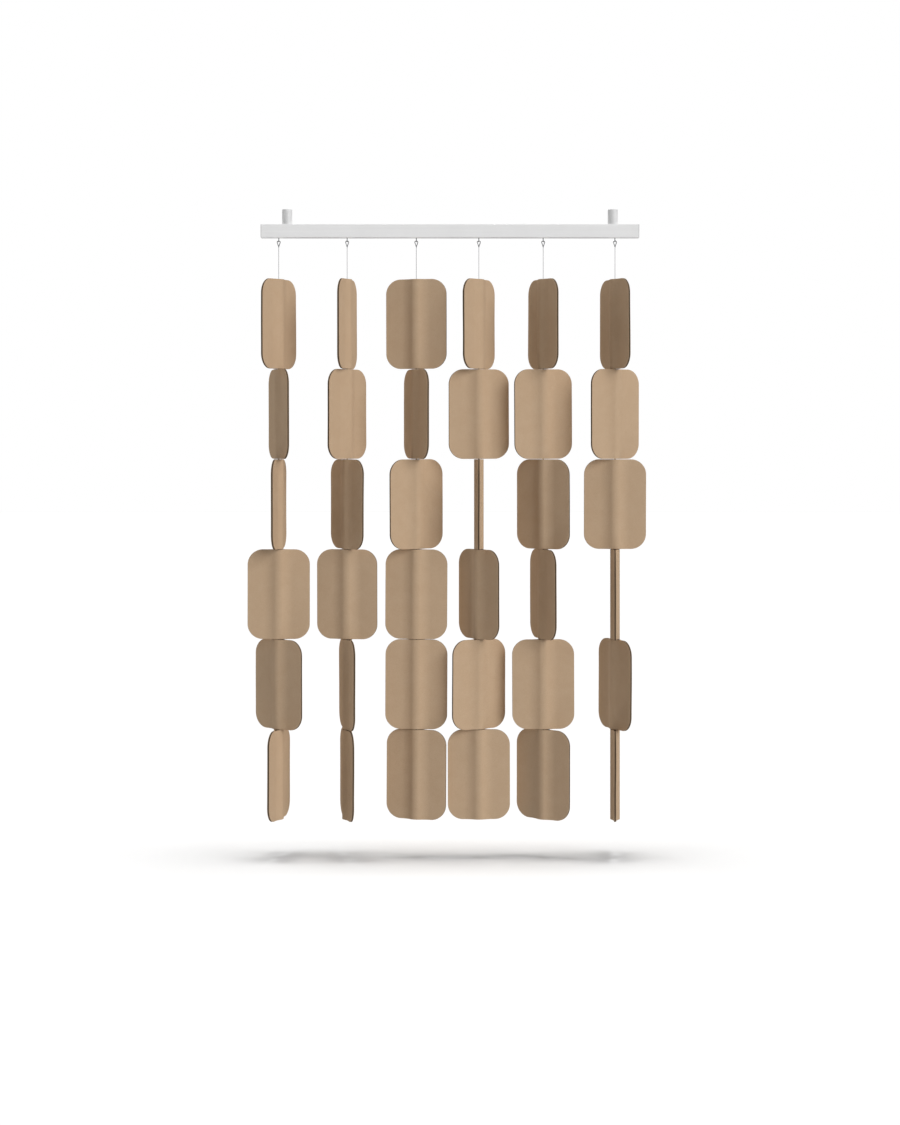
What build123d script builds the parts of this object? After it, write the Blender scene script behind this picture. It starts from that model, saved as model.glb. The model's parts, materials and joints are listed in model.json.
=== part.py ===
"""Hanging acoustic panel: a ceiling rail that carries six wires, each threaded with six felt panels.

Millimetres. X runs along the rail, +Z is up, and the front of the screen faces -Y.
The origin is on the ceiling plane, midway between the two ceiling studs.
"""
from math import asin, atan, cos, hypot, radians, sin
import os

from build123d import *

# Ceiling standoffs; the inset is from the rail's end to a standoff's axis
mount_inset = 83.0
mount_diameter = 32.0
mount_height = 48.0
mount_chamfer = 0.8
stud_hole_radius = 4.0
stud_hole_depth = 22.0

# Screws that hold the rail to its standoffs
screw_radius = 3.0
screw_reach = 12.0
screw_head_radius = 5.5
screw_head_height = 3.3
screw_socket_radius = 2.0
screw_socket_depth = 1.8
thread_clearance = 0.05
screw_hole_clearance = 0.3
screw_hole_spare = 2.0

# Rail: a box section, open along its underside by a slot
rail_length = 1200.0
rail_depth = 40.0
rail_height = 42.0
rail_wall = 2.0
rail_lip = 2.5
rail_slot = 12.0
rail_edge_radius = 1.0

# End caps, pushed into the rail's ends; their thickness is part of the rail's length
cap_thickness = 4.0
cap_edge_radius = 1.5
cap_spigot_length = 12.0
cap_spigot_wall = 2.0
cap_clearance = 0.2

# Gliders that run on the rail's lips
glider_length = 30.0
glider_thickness = 6.0
glider_side_clearance = 0.5
glider_lift = 0.2
glider_slot_clearance = 0.3
glider_boss_recess = 0.5

# Hooks: a bent wire with a threaded shank and a lock nut above the glider
hook_wire = 2.6
hook_bend_radius = 3.4
hook_tip_length = 2.0
hook_shank_clearance = 0.05
nut_across_flats = 6.0
nut_height = 2.4
thread_end = 0.9

# Teardrop eye terminals that hang on the hooks
eye_wire = 2.4
eye_width = 12.0
eye_height = 17.5
eye_crown = 2.0
eye_tip_radius = 1.6
eye_drop = 8.6
eye_seat_gap = 0.3
neck_top_radius = 2.0
neck_end_radius = 1.4
neck_length = 3.6
neck_bore_depth = 5.0

# Wires and what is threaded on them
wire_diameter = 1.5
wire_grip = 0.05
wire_running_clearance = 0.08
wire_tail = 0.8
spacer_radius = 2.0
stop_radius = 2.2
stop_length = 7.0
bearing_gap = 0.15

# Felt panels: two leaves, flat at the wings and swollen round the wire
panel_rows = 6
panel_width = 197.0
panel_height = 284.4
panel_corner_radius = 48.0
panel_gap = 1.4
first_panel_drop = 131.2
leaf_thickness = 3.5
ridge_height = 15.2
ridge_radius = 30.0
ridge_slope = 27.0
foot_radius = 70.0

# Spines inside the panels, and the bushes in their ends
spine_radius = 4.0
spine_bore_radius = 2.5
spine_inset = 10.0
fin_thickness = 2.0
fin_clearance = 0.45
bush_clearance = 0.05
bush_length = 8.0
bush_flange = 1.2

# Where each strand hangs, from left to right: -1 and 1 are the ends of a glider's run along the rail
strand_place_ratios = (-0.9557, -0.5740, -0.1879, 0.1610, 0.5200, 0.9206)

# How far each panel is turned from the rail's line, in degrees, strand by strand and from the top down
panel_angles = (
    (62, -68, 82, 1, -39, 75),
    (76, 56, -57, -13, -74, -76),
    (-14, -67, 34, -5, -4, -17),
    (60, 15, 89, -52, 32, 1),
    (-65, 21, -36, -69, 2, -35),
    (-67, 37, 1, 86, -64, 86),
)

# Levels and places that follow from the sizes above
mount_spacing = rail_length - 2 * mount_inset
rail_top = -mount_height
rail_bottom = rail_top - rail_height
lip_top = rail_bottom + rail_lip
channel_top = rail_top - rail_wall
channel_width = rail_depth - 2 * rail_wall
glider_bottom = lip_top + glider_lift
glider_top = glider_bottom + glider_thickness
glider_run = rail_length - 2 * (cap_thickness + cap_spigot_length) - glider_length
eye_bar_level = rail_bottom - eye_drop - eye_wire / 2
hook_bottom_level = eye_bar_level - eye_wire / 2 - eye_seat_gap - hook_wire / 2
eye_bottom = eye_bar_level + eye_wire / 2 - eye_height
neck_end = eye_bottom - neck_length
first_panel_top = rail_bottom - first_panel_drop
panel_pitch = panel_height + panel_gap
wire_radius = wire_diameter / 2


def cylinder_between(radius, low, high, x=0.0, y=0.0):
    """A round bar along Z, from one level to another."""
    return Pos(x, y, (low + high) / 2) * Cylinder(radius, high - low)


def tube_between(radius, bore, low, high):
    """A round tube along Z, from one level to another."""
    return cylinder_between(radius, low, high) - cylinder_between(bore, low, high)


def write(node, *solids):
    """Save one node of the object: one or more separate solids."""
    pieces = [piece for solid in solids for piece in solid.solids()]
    shape = pieces[0] if len(pieces) == 1 else Compound(children=pieces)
    export_step(shape, f"parts/{node}.step")


def ceiling_mount(x):
    """Turned standoff with a threaded hole for the ceiling stud above and one for the rail's screw below."""
    body = cylinder_between(mount_diameter / 2, rail_top, 0.0, x)
    body = chamfer(body.edges().filter_by(GeomType.CIRCLE), mount_chamfer)
    stud_hole = cylinder_between(stud_hole_radius, -stud_hole_depth, 0.0, x)
    screw_hole_top = rail_top + screw_reach + screw_hole_spare
    screw_hole = cylinder_between(screw_radius + thread_clearance, rail_top, screw_hole_top, x)
    return body - stud_hole - screw_hole


def mount_screw(x):
    """Button-head screw from inside the rail, up into a standoff."""
    shank = cylinder_between(screw_radius, channel_top, rail_top + screw_reach, x)
    head_bottom = channel_top - screw_head_height
    head = cylinder_between(screw_head_radius, head_bottom, channel_top, x)
    head = fillet(head.edges().group_by(Axis.Z)[0], screw_head_height / 2)
    prism = RegularPolygon(screw_socket_radius, 6)
    socket = Pos(x, 0, head_bottom) * extrude(prism, screw_socket_depth)
    return shank + head - socket


def section_along_x(sketch, start, length):
    """Carry a sketch, drawn with Y across and Z up, along the rail."""
    plane = Plane(origin=(start, 0, 0), x_dir=(0, 1, 0), z_dir=(1, 0, 0))
    return extrude(plane * sketch, length)


def rail():
    """Rail extrusion: a hollow box with a slot along the underside and two screw holes in the top."""
    middle = (rail_top + rail_bottom) / 2
    channel_height = channel_top - lip_top
    outline = Pos(0, middle) * RectangleRounded(rail_depth, rail_height, rail_edge_radius)
    channel = Pos(0, lip_top + channel_height / 2) * Rectangle(channel_width, channel_height)
    slot = Pos(0, rail_bottom + rail_lip / 2) * Rectangle(rail_slot, rail_lip)
    length = rail_length - 2 * cap_thickness
    body = section_along_x(outline - channel - slot, -length / 2, length)
    for side in (-1, 1):
        hole_radius = screw_radius + screw_hole_clearance
        body -= cylinder_between(hole_radius, channel_top, rail_top, side * mount_spacing / 2)
    return body


def end_cap(side):
    """Cap over one end of the rail, with a hollow spigot that plugs into the channel."""
    middle = (rail_top + rail_bottom) / 2
    inner_end = side * (rail_length / 2 - cap_thickness)
    plate = section_along_x(
        Pos(0, middle) * RectangleRounded(rail_depth, rail_height, rail_edge_radius),
        min(inner_end, side * rail_length / 2),
        cap_thickness,
    )
    outer_face = plate.faces().sort_by(Axis.X)[-1 if side > 0 else 0]
    plate = fillet(outer_face.edges(), cap_edge_radius)
    width = channel_width - 2 * cap_clearance
    height = channel_top - lip_top - 2 * cap_clearance
    level = (channel_top + lip_top) / 2
    hollow = Rectangle(width - 2 * cap_spigot_wall, height - 2 * cap_spigot_wall)
    start = min(inner_end, inner_end - side * cap_spigot_length)
    spigot = section_along_x(Pos(0, level) * (Rectangle(width, height) - hollow), start, cap_spigot_length)
    return plate + spigot


def glider(x):
    """Slider that rests on the rail's lips, with a boss down in the slot and a hole for the hook's shank."""
    width = channel_width - 2 * glider_side_clearance
    boss_width = rail_slot - 2 * glider_slot_clearance
    boss_bottom = rail_bottom + glider_boss_recess
    body = Pos(x, 0, (glider_bottom + glider_top) / 2) * Box(glider_length, width, glider_thickness)
    boss_height = glider_bottom - boss_bottom
    boss = Pos(x, 0, boss_bottom + boss_height / 2) * Box(glider_length, boss_width, boss_height)
    hole_radius = hook_wire / 2 + hook_shank_clearance
    hole = cylinder_between(hole_radius, boss_bottom, glider_top, x, hook_bend_radius)
    return body + boss - hole


def hook(x):
    """Hook bent from wire, seen edge-on from the front, whose shank rises through the glider."""
    bend_level = hook_bottom_level + hook_bend_radius
    shank_top = glider_top + nut_height + thread_end
    shank = Line((x, hook_bend_radius, shank_top), (x, hook_bend_radius, bend_level))
    bend = ThreePointArc(
        (x, hook_bend_radius, bend_level),
        (x, 0, hook_bottom_level),
        (x, -hook_bend_radius, bend_level),
    )
    tip = Line((x, -hook_bend_radius, bend_level), (x, -hook_bend_radius, bend_level + hook_tip_length))
    path = Wire([shank, bend, tip])
    return sweep(Plane(origin=path @ 0, z_dir=path % 0) * Circle(hook_wire / 2), path=path)


def hook_nut(x):
    """Lock nut on the hook's shank, on top of the glider."""
    hexagon = RegularPolygon(nut_across_flats / 2, 6, major_radius=False)
    ring = extrude(hexagon - Circle(hook_wire / 2 + hook_shank_clearance), nut_height)
    return Pos(x, hook_bend_radius, glider_top) * ring


def eye_terminal():
    """Teardrop eye that hangs by its short straight crown, with a tapered neck that grips the wire."""
    side = eye_crown / 2
    top_radius = (eye_width - eye_wire) / 2 - side
    tip_level = eye_bottom + eye_wire / 2
    top_centre = eye_bar_level - top_radius
    tip_centre = tip_level + eye_tip_radius
    rise = top_centre - tip_centre
    lean = atan(side / rise) + asin((top_radius - eye_tip_radius) / hypot(side, rise))
    shoulder = (side + top_radius * cos(lean), 0, top_centre - top_radius * sin(lean))
    toe = (eye_tip_radius * cos(lean), 0, tip_centre - eye_tip_radius * sin(lean))
    shoulder_left = (-shoulder[0], 0, shoulder[2])
    toe_left = (-toe[0], 0, toe[2])
    crown = (0, 0, eye_bar_level)
    high = top_radius * sin(radians(45))
    path = Wire([
        Line(crown, (side, 0, eye_bar_level)),
        ThreePointArc((side, 0, eye_bar_level), (side + high, 0, top_centre + high), shoulder),
        Line(shoulder, toe),
        ThreePointArc(toe, (0, 0, tip_level), toe_left),
        Line(toe_left, shoulder_left),
        ThreePointArc(shoulder_left, (-side - high, 0, top_centre + high), (-side, 0, eye_bar_level)),
        Line((-side, 0, eye_bar_level), crown),
    ])
    ring = sweep(Plane(origin=crown, z_dir=(1, 0, 0)) * Circle(eye_wire / 2), path=path)
    neck_height = tip_level - neck_end
    neck = Pos(0, 0, neck_end + neck_height / 2) * Cone(neck_end_radius, neck_top_radius, neck_height)
    bore = cylinder_between(wire_radius + wire_grip, neck_end, neck_end + neck_bore_depth)
    return ring + neck - bore


def panel_top(row):
    """Level of a panel's top edge, counted from the top row."""
    return first_panel_top - row * panel_pitch


def bush_face_depth():
    """How far a bush's outer face lies inside the panel's end."""
    return spine_inset - bush_flange


def strand(x):
    """Everything fixed to one wire: eye terminal, wire, spacers between the panels and end stop."""
    depth = bush_face_depth()
    stack_bottom = panel_top(panel_rows - 1) - panel_height + depth
    stop_top = stack_bottom - bearing_gap
    wire_top = neck_end + neck_bore_depth - wire_grip
    wire = cylinder_between(wire_radius, stop_top - stop_length - wire_tail, wire_top)
    stop = tube_between(stop_radius, wire_radius + wire_grip, stop_top - stop_length, stop_top)
    pieces = [eye_terminal(), wire, stop]
    for row in range(1, panel_rows):
        low = panel_top(row) - depth + bearing_gap
        high = panel_top(row) + panel_gap + depth - bearing_gap
        pieces.append(tube_between(spacer_radius, wire_radius + wire_running_clearance, low, high))
    return [Pos(x, 0, 0) * piece for piece in pieces]


def leaf_curve(offset):
    """Half of a leaf's section line: flat wing, hollow foot, straight flank and rounded ridge.

    The offset is the distance out from the leaf's inner face, which meets the other leaf at Y = 0.
    Both faces use the same arc centres, so the leaf has one thickness all over.
    """
    slope = radians(ridge_slope)
    ridge_r = ridge_radius - leaf_thickness + offset
    foot_r = foot_radius + leaf_thickness - offset
    peak = ridge_height - leaf_thickness + offset
    ridge_end = (ridge_r * sin(slope), peak - ridge_r * (1 - cos(slope)))
    flank_drop = ridge_end[1] - offset - foot_r * (1 - cos(slope))
    flank_end = (ridge_end[0] + flank_drop * cos(slope) / sin(slope), ridge_end[1] - flank_drop)
    foot_end = (flank_end[0] + foot_r * sin(slope), offset)
    half = slope / 2
    ridge_middle = (ridge_r * sin(half), peak - ridge_r * (1 - cos(half)))
    foot_middle = (foot_end[0] - foot_r * sin(half), offset + foot_r * (1 - cos(half)))
    return (0, peak), ridge_middle, ridge_end, flank_end, foot_middle, foot_end


def half_leaf(side):
    """One side of a leaf's section, from the ridge to the wing's edge."""
    inner = leaf_curve(0.0)
    outer = leaf_curve(leaf_thickness)
    edge = panel_width / 2
    lines = []
    for peak, ridge_middle, ridge_end, flank_end, foot_middle, foot_end in (inner, outer):
        lines.append(ThreePointArc(peak, ridge_middle, ridge_end))
        lines.append(Line(ridge_end, flank_end))
        lines.append(ThreePointArc(flank_end, foot_middle, foot_end))
        lines.append(Line(foot_end, (edge, foot_end[1])))
    lines.append(Line(inner[0], outer[0]))
    lines.append(Line((edge, 0), (edge, leaf_thickness)))
    face = make_face(Curve() + lines)
    return face if side > 0 else mirror(face, Plane.YZ)


def leaf():
    """Back leaf of pressed felt: its section carried from bottom to top and cut to the rounded outline."""
    sheet = extrude(half_leaf(1) + half_leaf(-1), panel_height)
    upright = Plane(origin=(0, 0, panel_height / 2), x_dir=(1, 0, 0), z_dir=(0, -1, 0))
    outline = upright * RectangleRounded(panel_width, panel_height, panel_corner_radius)
    return sheet & extrude(outline, 2 * ridge_height, both=True)


def spine():
    """Tube round the wire, with a fin to each leaf's ridge that keeps the leaves apart."""
    low = spine_inset
    high = panel_height - spine_inset
    reach = ridge_height - leaf_thickness - fin_clearance
    fins = Pos(0, 0, (low + high) / 2) * Box(fin_thickness, 2 * reach, high - low)
    body = cylinder_between(spine_radius, low, high) + fins
    return body - cylinder_between(spine_bore_radius, low, high)


def bush():
    """Flanged bush that runs on the wire, drawn with its flange face at Z = 0 and its body above."""
    body = cylinder_between(spine_bore_radius - bush_clearance, 0, bush_flange + bush_length)
    flange = cylinder_between(spine_radius, 0, bush_flange)
    bore = cylinder_between(wire_radius + wire_running_clearance, 0, bush_flange + bush_length)
    return body + flange - bore


def panel():
    """One panel on the wire's axis, its bottom edge at Z = 0: two leaves, a spine and two bushes."""
    back = leaf()
    front = Rot(0, 0, 180) * back
    low_bush = Pos(0, 0, bush_face_depth()) * bush()
    high_bush = Pos(0, 0, panel_height - bush_face_depth()) * Rot(180, 0, 0) * bush()
    return [front, back, spine(), low_bush, high_bush]


def build():
    """Model every node and save it."""
    os.makedirs("parts", exist_ok=True)
    half_spacing = mount_spacing / 2
    write("rail", rail())
    write("end_cap_left", end_cap(-1))
    write("end_cap_right", end_cap(1))
    write("ceiling_mount_left", ceiling_mount(-half_spacing))
    write("ceiling_mount_right", ceiling_mount(half_spacing))
    write("mount_screws", mount_screw(-half_spacing), mount_screw(half_spacing))
    pieces = panel()
    for column, (ratio, angles) in enumerate(zip(strand_place_ratios, panel_angles), start=1):
        x = ratio * glider_run / 2
        write(f"glider_{column}", glider(x))
        write(f"hook_{column}", hook(x), hook_nut(x))
        write(f"strand_{column}", *strand(x))
        for row in range(panel_rows):
            place = Pos(x, 0, panel_top(row) - panel_height) * Rot(0, 0, angles[row])
            write(f"panel_c{column}_r{row + 1}", *[place * piece for piece in pieces])


build()
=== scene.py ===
"""Looks of the hanging acoustic panel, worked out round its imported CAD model.

Everything is in metres and in the CAD frame: X along the rail, +Z up, the front faces -Y,
and z = 0 is the ceiling. The file is laid out as an add-on and is run as a script.
"""
import json
from math import cos, radians, sin, tau

import bpy
import numpy as np
from bpy.props import (
    FloatProperty,
    FloatVectorProperty,
    IntProperty,
    PointerProperty,
)
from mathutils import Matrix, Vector

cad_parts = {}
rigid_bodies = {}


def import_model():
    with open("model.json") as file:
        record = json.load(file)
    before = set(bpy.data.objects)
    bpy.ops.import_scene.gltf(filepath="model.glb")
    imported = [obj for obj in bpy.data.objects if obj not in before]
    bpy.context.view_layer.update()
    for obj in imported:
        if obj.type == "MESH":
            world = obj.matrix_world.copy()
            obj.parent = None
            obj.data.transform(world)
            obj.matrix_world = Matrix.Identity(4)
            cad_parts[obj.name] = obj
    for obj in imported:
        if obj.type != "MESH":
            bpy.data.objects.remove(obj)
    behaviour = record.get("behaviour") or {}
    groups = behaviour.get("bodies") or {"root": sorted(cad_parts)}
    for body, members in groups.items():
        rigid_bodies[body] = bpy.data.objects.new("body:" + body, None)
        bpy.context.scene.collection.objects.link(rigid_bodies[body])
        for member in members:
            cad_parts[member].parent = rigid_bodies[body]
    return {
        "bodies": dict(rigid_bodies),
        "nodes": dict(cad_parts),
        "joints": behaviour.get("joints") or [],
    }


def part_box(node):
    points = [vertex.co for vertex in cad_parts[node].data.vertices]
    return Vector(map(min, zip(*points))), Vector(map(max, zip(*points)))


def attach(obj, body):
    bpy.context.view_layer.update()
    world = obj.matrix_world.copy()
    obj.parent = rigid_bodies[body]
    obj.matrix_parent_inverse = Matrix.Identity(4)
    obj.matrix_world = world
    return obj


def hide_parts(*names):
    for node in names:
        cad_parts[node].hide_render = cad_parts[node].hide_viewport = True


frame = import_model()

bl_info = {
    "name": "Hanging acoustic panel",
    "version": (1, 0, 0),
    "blender": (4, 5, 0),
    "location": "View3D > Sidebar > Acoustic Panel",
    "description": "Gives the packed hanging acoustic panel its felt, its metal and a plain stage",
    "category": "Object",
}

JOINTS = {joint["name"]: joint for joint in frame["joints"]}
STRANDS = range(1, 1 + sum(name.startswith("strand_") for name in frame["bodies"]))
PANELS = sorted(name for name in frame["bodies"] if name.startswith("panel_"))


def tone(red, green, blue):
    """Scene colour of a display colour given from 0 to 255 (inverse of the sRGB curve)."""
    share = np.array((red, green, blue)) / 255
    low = share / 12.92
    high = ((share + 0.055) / 1.055) ** 2.4
    return tuple(float(value) for value in np.where(share <= 0.04045, low, high))


def length(name, description, default):
    """A size in metres that the user can set."""
    return FloatProperty(
        name=name, description=description, default=default, min=0.0, precision=5,
        unit="LENGTH", subtype="DISTANCE",
    )


def turn(name, description, default):
    """An angle that the user can set; the default is given in degrees."""
    return FloatProperty(
        name=name, description=description, default=radians(default), unit="ROTATION", subtype="ANGLE",
    )


def amount(name, description, default, highest=10.0):
    """A plain number that the user can set."""
    return FloatProperty(name=name, description=description, default=default, min=0.0, max=highest)


def paint(name, description, red, green, blue):
    """A colour that the user can set; the default is a display colour."""
    return FloatVectorProperty(
        name=name, description=description, default=tone(red, green, blue),
        min=0.0, max=1.0, size=3, subtype="COLOR",
    )


# Settings

class AcousticFeltSettings(bpy.types.PropertyGroup):
    """Sizes and finish of the pressed felt leaves, two to a panel."""

    width: length("Width", "Width of a panel", 0.197)
    height: length("Height", "Height of a panel", 0.2844)
    corner: length("Corner radius", "Radius of a panel's corners", 0.048)
    thickness: length("Leaf thickness", "Thickness of the pressed felt", 0.0035)
    ridge_height: length("Ridge height", "From the panel's middle plane to the top of the ridge", 0.0152)
    ridge_radius: length("Ridge radius", "Outer radius of the ridge", 0.030)
    ridge_slope: turn("Ridge slope", "Slope of the ridge's flanks", 27)
    foot_radius: length("Foot radius", "Radius between the flanks and the flat wings", 0.070)
    outer_rounding: length("Outer rounding", "Rounding of a leaf's outer edge", 0.0008)
    seam_rounding: length("Seam rounding", "Rounding of a leaf's inner edge, along the seam", 0.0014)
    waviness: length("Waviness", "How far the wings may wander from flat", 0.0006)
    lean: turn("Lean", "How far a panel may lean on its spine", 0.35)
    seed: IntProperty(name="Seed", description="Start of the waves' and leans' random series", default=7)
    colour: paint("Felt", "Colour of the felt", 189, 162, 133)
    pale_fibre: paint("Pale fibres", "Colour of the palest fibres", 204, 180, 153)
    dark_fibre: paint("Dark fibres", "Colour of the darkest fibres", 160, 132, 103)
    # Dark brown for the seam: partly the pressed seam's own colour, partly painted shade between the leaves
    # and along the rims.
    seam_and_shade_colour: paint("Seam", "Colour of the pressed seam between the leaves", 48, 35, 24)


class AcousticCoreSettings(bpy.types.PropertyGroup):
    """Sizes and finish of the spines and bushes inside the panels."""

    spine_radius: length("Spine radius", "Outer radius of the spine's tube", 0.004)
    bore_radius: length("Spine bore", "Radius of the spine's bore", 0.0025)
    inset: length("Inset", "From a panel's end to the spine's end", 0.010)
    fin_thickness: length("Fin thickness", "Thickness of the spine's two fins", 0.002)
    fin_reach: length("Fin reach", "From the wire's axis to a fin's tip", 0.0109)
    bush_radius: length("Bush radius", "Radius of the bush inside the spine", 0.00245)
    bush_bore: length("Bush bore", "Radius of the bush's bore", 0.00083)
    bush_length: length("Bush length", "Length of the bush inside the spine", 0.008)
    bush_flange: length("Bush flange", "Thickness of the bush's flange", 0.0012)
    colour: paint("Moulding", "Colour of the moulded spines and bushes", 74, 66, 58)


class AcousticWireSettings(bpy.types.PropertyGroup):
    """Sizes and finish of the wires, their eyes, spacers and stops."""

    wire_radius: length("Wire radius", "Outer radius of the stranded wire", 0.00075)
    lay: length("Lay", "Length of one turn of the wire's strands", 0.0095)
    eye_wire: length("Eye wire", "Diameter of the wire that the eye is bent from", 0.0024)
    eye_width: length("Eye width", "Outer width of the eye", 0.012)
    eye_height: length("Eye height", "Outer height of the eye", 0.0175)
    eye_crown: length("Eye crown", "Straight part at the top of the eye", 0.002)
    eye_tip: length("Eye tip", "Bend radius at the foot of the eye", 0.0016)
    neck_top: length("Neck top", "Radius of the neck at the eye", 0.0020)
    neck_end: length("Neck end", "Radius of the neck where the wire leaves it", 0.0014)
    neck_length: length("Neck length", "Length of the neck below the eye", 0.0036)
    spacer_radius: length("Spacer radius", "Outer radius of the spacers", 0.0020)
    stop_radius: length("Stop radius", "Radius of the stop at the wire's end", 0.0022)
    stop_length: length("Stop length", "Length of the stop", 0.007)
    tail: length("Tail", "Wire left below the stop", 0.0008)
    bearing_gap: length("Bearing gap", "Play between a bush and what carries it", 0.00015)
    colour: paint("Wire", "Colour of the drawn steel wire", 118, 118, 121)
    fitting: paint("Fittings", "Colour of the eye, the spacers and the stop", 96, 96, 99)


class AcousticHardwareSettings(bpy.types.PropertyGroup):
    """Colours of the rail and of what is fixed to it or runs in it."""

    rail: paint("Rail", "Colour of the rail's paint", 242, 242, 242)
    mount: paint("Standoffs", "Colour of the standoffs' paint", 222, 222, 222)
    cap: paint("End caps", "Colour of the end caps", 228, 228, 228)
    glider: paint("Gliders", "Colour of the natural nylon", 233, 231, 222)
    hook: paint("Hooks", "Colour of the plated hooks", 104, 104, 107)
    screw: paint("Screws", "Colour of the zinc-plated screws", 190, 190, 188)


class AcousticStageSettings(bpy.types.PropertyGroup):
    """Camera, lamps and floor."""

    camera_distance: length("Camera distance", "From the camera to the screen's middle plane", 6.75)
    camera_drop: length("Camera drop", "How far the level camera is below the ceiling", 0.719)
    lens: FloatProperty(
        name="Lens", description="Focal length for a 36 mm long side", default=68.03, unit="CAMERA",
    )
    rise: FloatProperty(
        name="Vertical shift", description="Shift of the picture against the lens", default=-0.1124,
    )
    floor_drop: length("Floor drop", "How far the floor is below the ceiling", 2.056)
    floor_size: length("Floor size", "Side of the square floor", 60.0)
    floor_colour: paint("Floor", "Colour of the floor", 212, 212, 212)
    floor_bounce: amount("Floor bounce", "Share of light that the floor gives back to the screen", 0.18, 1.0)
    floor_light: amount("Floor light", "Light on the floor from the lamps that light nothing else", 1.4)
    floor_spread: turn("Floor spread", "How wide each of the floor's own lamps looks", 18)
    floor_fan: turn("Floor fan", "Angle between the floor's own lamps, fanned along the rail", 7)
    sky: amount("Sky", "Strength of the even light from all round", 0.16)
    key: amount("Key", "Light on a face turned to the main lamp", 0.70)
    key_side: turn("Key side", "How far to the right of the camera the main lamp stands", 42)
    key_rise: turn("Key rise", "How high the main lamp stands", 22)
    key_spread: turn("Key spread", "How wide the main lamp looks from the screen", 42)
    fill: amount("Fill", "Light on a face turned to the lamp at the left", 0.20)
    fill_side: turn("Fill side", "How far to the left of the camera the left lamp stands", 95)
    fill_rise: turn("Fill rise", "How high the left lamp stands", 8)
    back: amount("Back", "Light on a face turned to the lamp behind the screen", 0.50)
    back_spread: turn("Back spread", "How wide the lamp behind the screen looks", 18)
    under: amount("Under", "Light on a level face from below, as off a pale floor", 0.70)
    wide: turn("Wide", "How wide the left lamp and the one below look", 60)
    top: amount("Top", "Light on a level face under the overhead lamp", 0.55)
    top_spread: turn("Top spread", "How wide the overhead lamp looks", 40)


# Meshes

def grid_faces(rows, columns, start=0, flip=False):
    """Quads of a grid of points numbered row by row.

    Each joins a point with its neighbours to the right, to the upper right and above.
    """
    index = start + np.arange(rows * columns).reshape(rows, columns)
    quads = np.stack([index[:-1, :-1], index[:-1, 1:], index[1:, 1:], index[1:, :-1]], -1).reshape(-1, 4)
    return quads[:, ::-1] if flip else quads


def ring_faces(rings, around, start=0, closed=False):
    """Quads between rings of points numbered ring by ring.

    Every ring is closed in itself; closed also joins the last ring to the first.
    """
    index = start + np.arange(rings * around).reshape(rings, around)
    if closed:
        index = np.vstack([index, index[:1]])
    following = np.roll(index, -1, axis=1)
    return np.stack([index[:-1], following[:-1], following[1:], index[1:]], -1).reshape(-1, 4)


class Shape:
    """Points, quads and triangles gathered from several surfaces into one mesh."""

    def __init__(self):
        self.points, self.quads, self.triangles, self.count = [], [], [], 0

    def add(self, points, quads, triangles=None):
        """Take in one surface; its faces count from its own first point."""
        points = np.asarray(points, float).reshape(-1, 3)
        self.points.append(points)
        self.quads.append(quads + self.count)
        if triangles is not None:
            self.triangles.append(triangles + self.count)
        self.count += len(points)

    def revolve(self, radii, heights, around=32):
        """A closed profile of radii and heights turned about the Z axis: x = r cos a, y = r sin a."""
        angle = np.arange(around) * tau / around
        radii, heights = np.asarray(radii, float), np.asarray(heights, float)
        points = np.stack(np.broadcast_arrays(
            radii[:, None] * np.cos(angle), radii[:, None] * np.sin(angle), heights[:, None]), -1)
        self.add(points, ring_faces(len(radii), around, closed=True))

    def piece(self, name, place, material, smooth_below=35.0, last_material=None):
        """Make the object: points go to place(points), edges sharper than the angle stay sharp.

        The last surface, with its triangles, may have a material of its own.
        """
        points = place(np.vstack(self.points)).astype(np.float32)
        quads = np.vstack(self.quads)
        corners, starts = [quads.ravel()], [np.arange(len(quads)) * 4]
        if self.triangles:
            triangles = np.vstack(self.triangles)
            corners.append(triangles.ravel())
            starts.append(quads.size + np.arange(len(triangles)) * 3)
        corners, starts = np.concatenate(corners), np.concatenate(starts)
        mesh = bpy.data.meshes.new(name)
        mesh.vertices.add(len(points))
        mesh.vertices.foreach_set("co", points.ravel())
        mesh.loops.add(len(corners))
        mesh.loops.foreach_set("vertex_index", corners.astype(np.int32))
        mesh.polygons.add(len(starts))
        mesh.polygons.foreach_set("loop_start", starts.astype(np.int32))
        mesh.polygons.foreach_set("use_smooth", np.ones(len(starts), bool))
        mesh.update(calc_edges=True)
        if mesh.validate():
            raise RuntimeError(f"{name} has faces that aren't sound")
        mesh.set_sharp_from_angle(angle=radians(smooth_below))
        mesh.materials.append(material)
        if last_material:
            mesh.materials.append(last_material)
            first = len(quads) - len(self.quads[-1])
            mesh.polygons.foreach_set("material_index", (np.arange(len(starts)) >= first).astype(np.int32))
        made = bpy.data.objects.new(name, mesh)
        bpy.context.scene.collection.objects.link(made)
        return made


def chamfered_tube(outer, bore, low, high, chamfer):
    """Profile of a tube, up the outside and down the bore, with its outer edges chamfered."""
    return (
        (outer - chamfer, outer, outer, outer - chamfer, bore, bore),
        (low, low + chamfer, high - chamfer, high, high, low),
    )


# Felt panels

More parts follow.
